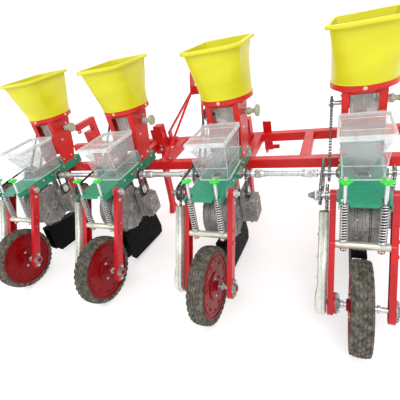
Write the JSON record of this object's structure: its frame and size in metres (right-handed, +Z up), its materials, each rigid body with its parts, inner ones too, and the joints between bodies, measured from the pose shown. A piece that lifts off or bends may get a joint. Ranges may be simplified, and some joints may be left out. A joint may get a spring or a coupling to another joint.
{
  "type": "corn planter",
  "caption": "Mounted row-crop planter: toolbar frame with three-point hitch, yellow fertilizer hoppers, clear seed boxes, chain drive and sprung press wheels.",
  "frame": {"origin": "on the ground, at the middle of the machine's length and width", "axes": "+X along the beams to the right, +Y the travel direction (hitch end), +Z up"},
  "size_m": [2.3, 1.236, 1.067],
  "materials": {
    "frame_red": "gloss",
    "stand_red": "gloss",
    "wheel_red": "satin",
    "tray_green": "gloss",
    "boot_black": "satin",
    "zinc": "bright zinc",
    "galvanised": "galvanised",
    "cast": "cast grey",
    "castalu": "cast",
    "tyre": "matte",
    "bin_yellow": "gloss",
    "lime": "gloss",
    "meter_grey": "satin",
    "clear": "clear plastic",
    "chain": "oiled"
  },
  "bodies": {
    "frame": {"beams": "frame_red", "cross_tubes": "frame_red", "hitch_mast": "frame_red", "hitch_brackets": "frame_red", "marker_brackets": "frame_red", "frame_bolts": "zinc", "fertilizer_openers": "frame_red", "trays": "tray_green", "seed_boots": "boot_black", "seed_shanks": "frame_red", "seed_meters": "castalu", "hopper_stands": "stand_red", "fert_meters": "meter_grey", "shaft_bearings": "cast", "drive_chains": "chain", "fertilizer_bin_1": "bin_yellow", "fertilizer_bin_2": "bin_yellow", "fertilizer_bin_3": "bin_yellow", "fertilizer_bin_4": "bin_yellow", "seed_box_1": "clear", "seed_box_2": "clear", "seed_box_3": "clear", "seed_box_4": "clear", "springs_1": "zinc", "springs_2": "zinc", "springs_3": "zinc", "springs_4": "zinc"},
    "arm_1": {"press_arm_1": "frame_red", "chain_case_1": "galvanised"},
    "wheel_1": {"wheel_disc_1": "wheel_red", "tyre_1": "tyre"},
    "lid_1": {"seed_box_lid_1": "clear"},
    "grip_1L": {"handwheel_1L": "lime"},
    "grip_1R": {"handwheel_1R": "lime"},
    "arm_2": {"press_arm_2": "frame_red", "chain_case_2": "galvanised"},
    "wheel_2": {"wheel_disc_2": "wheel_red", "tyre_2": "tyre"},
    "lid_2": {"seed_box_lid_2": "clear"},
    "grip_2L": {"handwheel_2L": "lime"},
    "grip_2R": {"handwheel_2R": "lime"},
    "arm_3": {"press_arm_3": "frame_red", "chain_case_3": "galvanised"},
    "wheel_3": {"wheel_disc_3": "wheel_red", "tyre_3": "tyre"},
    "lid_3": {"seed_box_lid_3": "clear"},
    "grip_3L": {"handwheel_3L": "lime"},
    "grip_3R": {"handwheel_3R": "lime"},
    "arm_4": {"press_arm_4": "frame_red", "chain_case_4": "galvanised"},
    "wheel_4": {"wheel_disc_4": "wheel_red", "tyre_4": "tyre"},
    "lid_4": {"seed_box_lid_4": "clear"},
    "grip_4L": {"handwheel_4L": "lime"},
    "grip_4R": {"handwheel_4R": "lime"},
    "jackshafts": {"jackshafts": "zinc"},
    "drive_shaft": {"drive_shaft": "zinc"},
    "fert_shafts": {"fert_meter_shafts": "zinc"},
    "meter_inputs": {"meter_sprockets": "zinc"},
    "seed_discs": {"seed_discs": "meter_grey"}
  },
  "joints": [
    {"name": "arm_1_swing", "type": "hinge", "parent": "frame", "child": "arm_1", "pos_m": [-0.9, -0.24, 0.527], "axis": [-1, 0, 0], "range_deg": [0, 15], "stiffness_Nm_per_rad": 200, "springref_deg": -28.65, "deforming": ["springs_1"]},
    {"name": "wheel_1_spin", "type": "hinge", "parent": "arm_1", "child": "wheel_1", "pos_m": [-0.9, -0.444, 0.174], "axis": [-1, 0, 0], "continuous": true},
    {"name": "lid_1_hinge", "type": "hinge", "parent": "frame", "child": "lid_1", "pos_m": [-0.9, 0.043, 0.739], "axis": [-1, 0, 0], "range_deg": [0, 75]},
    {"name": "handwheel_1L_turn", "type": "hinge", "parent": "arm_1", "child": "grip_1L", "pos_m": [-0.962, -0.3028, 0.624], "axis": [0, 0.1322, 0.9912], "continuous": true},
    {"name": "handwheel_1R_turn", "type": "hinge", "parent": "arm_1", "child": "grip_1R", "pos_m": [-0.838, -0.3028, 0.624], "axis": [0, 0.1322, 0.9912], "continuous": true},
    {"name": "arm_2_swing", "type": "hinge", "parent": "frame", "child": "arm_2", "pos_m": [-0.3, -0.24, 0.527], "axis": [-1, 0, 0], "range_deg": [0, 15], "stiffness_Nm_per_rad": 200, "springref_deg": -28.65, "deforming": ["springs_2"]},
    {"name": "wheel_2_spin", "type": "hinge", "parent": "arm_2", "child": "wheel_2", "pos_m": [-0.3, -0.444, 0.174], "axis": [-1, 0, 0], "continuous": true},
    {"name": "lid_2_hinge", "type": "hinge", "parent": "frame", "child": "lid_2", "pos_m": [-0.3, 0.043, 0.739], "axis": [-1, 0, 0], "range_deg": [0, 75]},
    {"name": "handwheel_2L_turn", "type": "hinge", "parent": "arm_2", "child": "grip_2L", "pos_m": [-0.362, -0.3028, 0.624], "axis": [0, 0.1322, 0.9912], "continuous": true},
    {"name": "handwheel_2R_turn", "type": "hinge", "parent": "arm_2", "child": "grip_2R", "pos_m": [-0.238, -0.3028, 0.624], "axis": [0, 0.1322, 0.9912], "continuous": true},
    {"name": "arm_3_swing", "type": "hinge", "parent": "frame", "child": "arm_3", "pos_m": [0.3, -0.24, 0.527], "axis": [-1, 0, 0], "range_deg": [0, 15], "stiffness_Nm_per_rad": 200, "springref_deg": -28.65, "deforming": ["springs_3"]},
    {"name": "wheel_3_spin", "type": "hinge", "parent": "arm_3", "child": "wheel_3", "pos_m": [0.3, -0.444, 0.174], "axis": [-1, 0, 0], "continuous": true},
    {"name": "lid_3_hinge", "type": "hinge", "parent": "frame", "child": "lid_3", "pos_m": [0.3, 0.043, 0.739], "axis": [-1, 0, 0], "range_deg": [0, 75]},
    {"name": "handwheel_3L_turn", "type": "hinge", "parent": "arm_3", "child": "grip_3L", "pos_m": [0.238, -0.3028, 0.624], "axis": [0, 0.1322, 0.9912], "continuous": true},
    {"name": "handwheel_3R_turn", "type": "hinge", "parent": "arm_3", "child": "grip_3R", "pos_m": [0.362, -0.3028, 0.624], "axis": [0, 0.1322, 0.9912], "continuous": true},
    {"name": "arm_4_swing", "type": "hinge", "parent": "frame", "child": "arm_4", "pos_m": [0.9, -0.24, 0.527], "axis": [-1, 0, 0], "range_deg": [0, 15], "stiffness_Nm_per_rad": 200, "springref_deg": -28.65, "deforming": ["springs_4"]},
    {"name": "wheel_4_spin", "type": "hinge", "parent": "arm_4", "child": "wheel_4", "pos_m": [0.9, -0.444, 0.174], "axis": [-1, 0, 0], "continuous": true},
    {"name": "lid_4_hinge", "type": "hinge", "parent": "frame", "child": "lid_4", "pos_m": [0.9, 0.043, 0.739], "axis": [-1, 0, 0], "range_deg": [0, 75]},
    {"name": "handwheel_4L_turn", "type": "hinge", "parent": "arm_4", "child": "grip_4L", "pos_m": [0.838, -0.3028, 0.624], "axis": [0, 0.1322, 0.9912], "continuous": true},
    {"name": "handwheel_4R_turn", "type": "hinge", "parent": "arm_4", "child": "grip_4R", "pos_m": [0.962, -0.3028, 0.624], "axis": [0, 0.1322, 0.9912], "continuous": true},
    {"name": "jackshafts_spin", "type": "hinge", "parent": "frame", "child": "jackshafts", "pos_m": [-0.9, -0.24, 0.527], "axis": [-1, 0, 0], "continuous": true},
    {"name": "drive_shaft_spin", "type": "hinge", "parent": "frame", "child": "drive_shaft", "pos_m": [0, -0.041, 0.515], "axis": [-1, 0, 0], "continuous": true},
    {"name": "fert_shafts_spin", "type": "hinge", "parent": "frame", "child": "fert_shafts", "pos_m": [-0.9, 0.169, 0.748], "axis": [-1, 0, 0], "continuous": true},
    {"name": "meter_inputs_spin", "type": "hinge", "parent": "frame", "child": "meter_inputs", "pos_m": [-0.9, -0.052, 0.425], "axis": [-1, 0, 0], "continuous": true},
    {"name": "seed_discs_spin", "type": "hinge", "parent": "frame", "child": "seed_discs", "pos_m": [-0.9, -0.154, 0.372], "axis": [-1, 0, 0], "continuous": true}
  ],
  "couplings": [
    {"joint": "wheel_2_spin", "follows": "wheel_1_spin", "ratio": 1},
    {"joint": "wheel_3_spin", "follows": "wheel_1_spin", "ratio": 1},
    {"joint": "wheel_4_spin", "follows": "wheel_1_spin", "ratio": 1},
    {"joint": "jackshafts_spin", "follows": "wheel_1_spin", "ratio": 1},
    {"joint": "drive_shaft_spin", "follows": "wheel_1_spin", "ratio": 0.58621},
    {"joint": "fert_shafts_spin", "follows": "wheel_1_spin", "ratio": 0.71182},
    {"joint": "meter_inputs_spin", "follows": "wheel_1_spin", "ratio": 0.58621},
    {"joint": "seed_discs_spin", "follows": "wheel_1_spin", "ratio": 0.14655}
  ]
}
